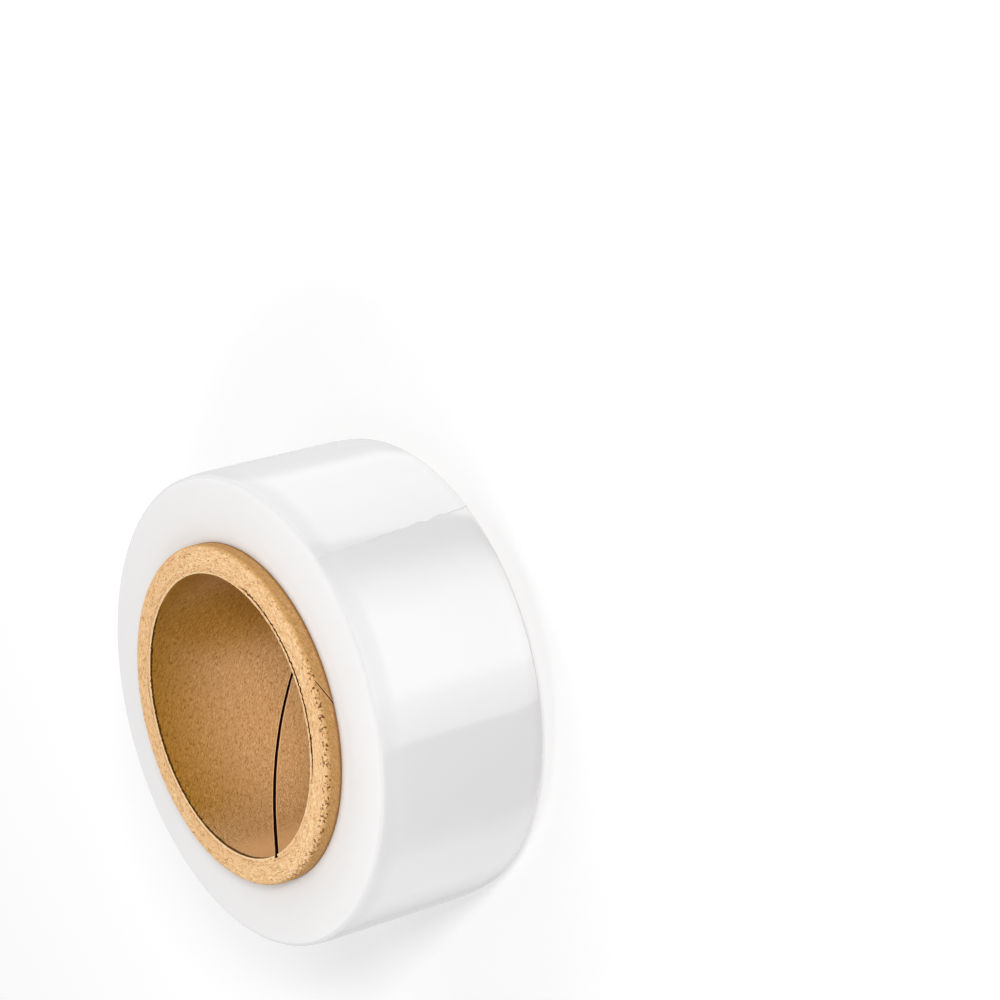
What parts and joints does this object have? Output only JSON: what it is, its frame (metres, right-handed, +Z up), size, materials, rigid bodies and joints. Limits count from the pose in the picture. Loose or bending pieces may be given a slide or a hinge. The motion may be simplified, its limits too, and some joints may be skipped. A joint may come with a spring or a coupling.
{
  "type": "stretch wrap roll",
  "caption": "Short hand roll of clear stretch film wound on a wide spiral-wound cardboard core, whose bare ends stand out past the film on both sides.",
  "frame": {"origin": "middle of the core's lower end, on the roll's axis, on the surface it stands on", "axes": "+Z up along the roll's axis, out of the core's upper end; +X is the way up in the picture, square to the floor there, and +Y completes the frame"},
  "size_m": [0.127, 0.127, 0.0605],
  "materials": {
    "kraft_card": "matt brown kraft paper, paler and fuzzy where it is cut",
    "clear_film": "glossy clear film, milky white in the many turns of the roll"
  },
  "bodies": {
    "root": {"cardboard_core": "kraft_card", "wound_film": "clear_film"}
  },
  "joints": []
}
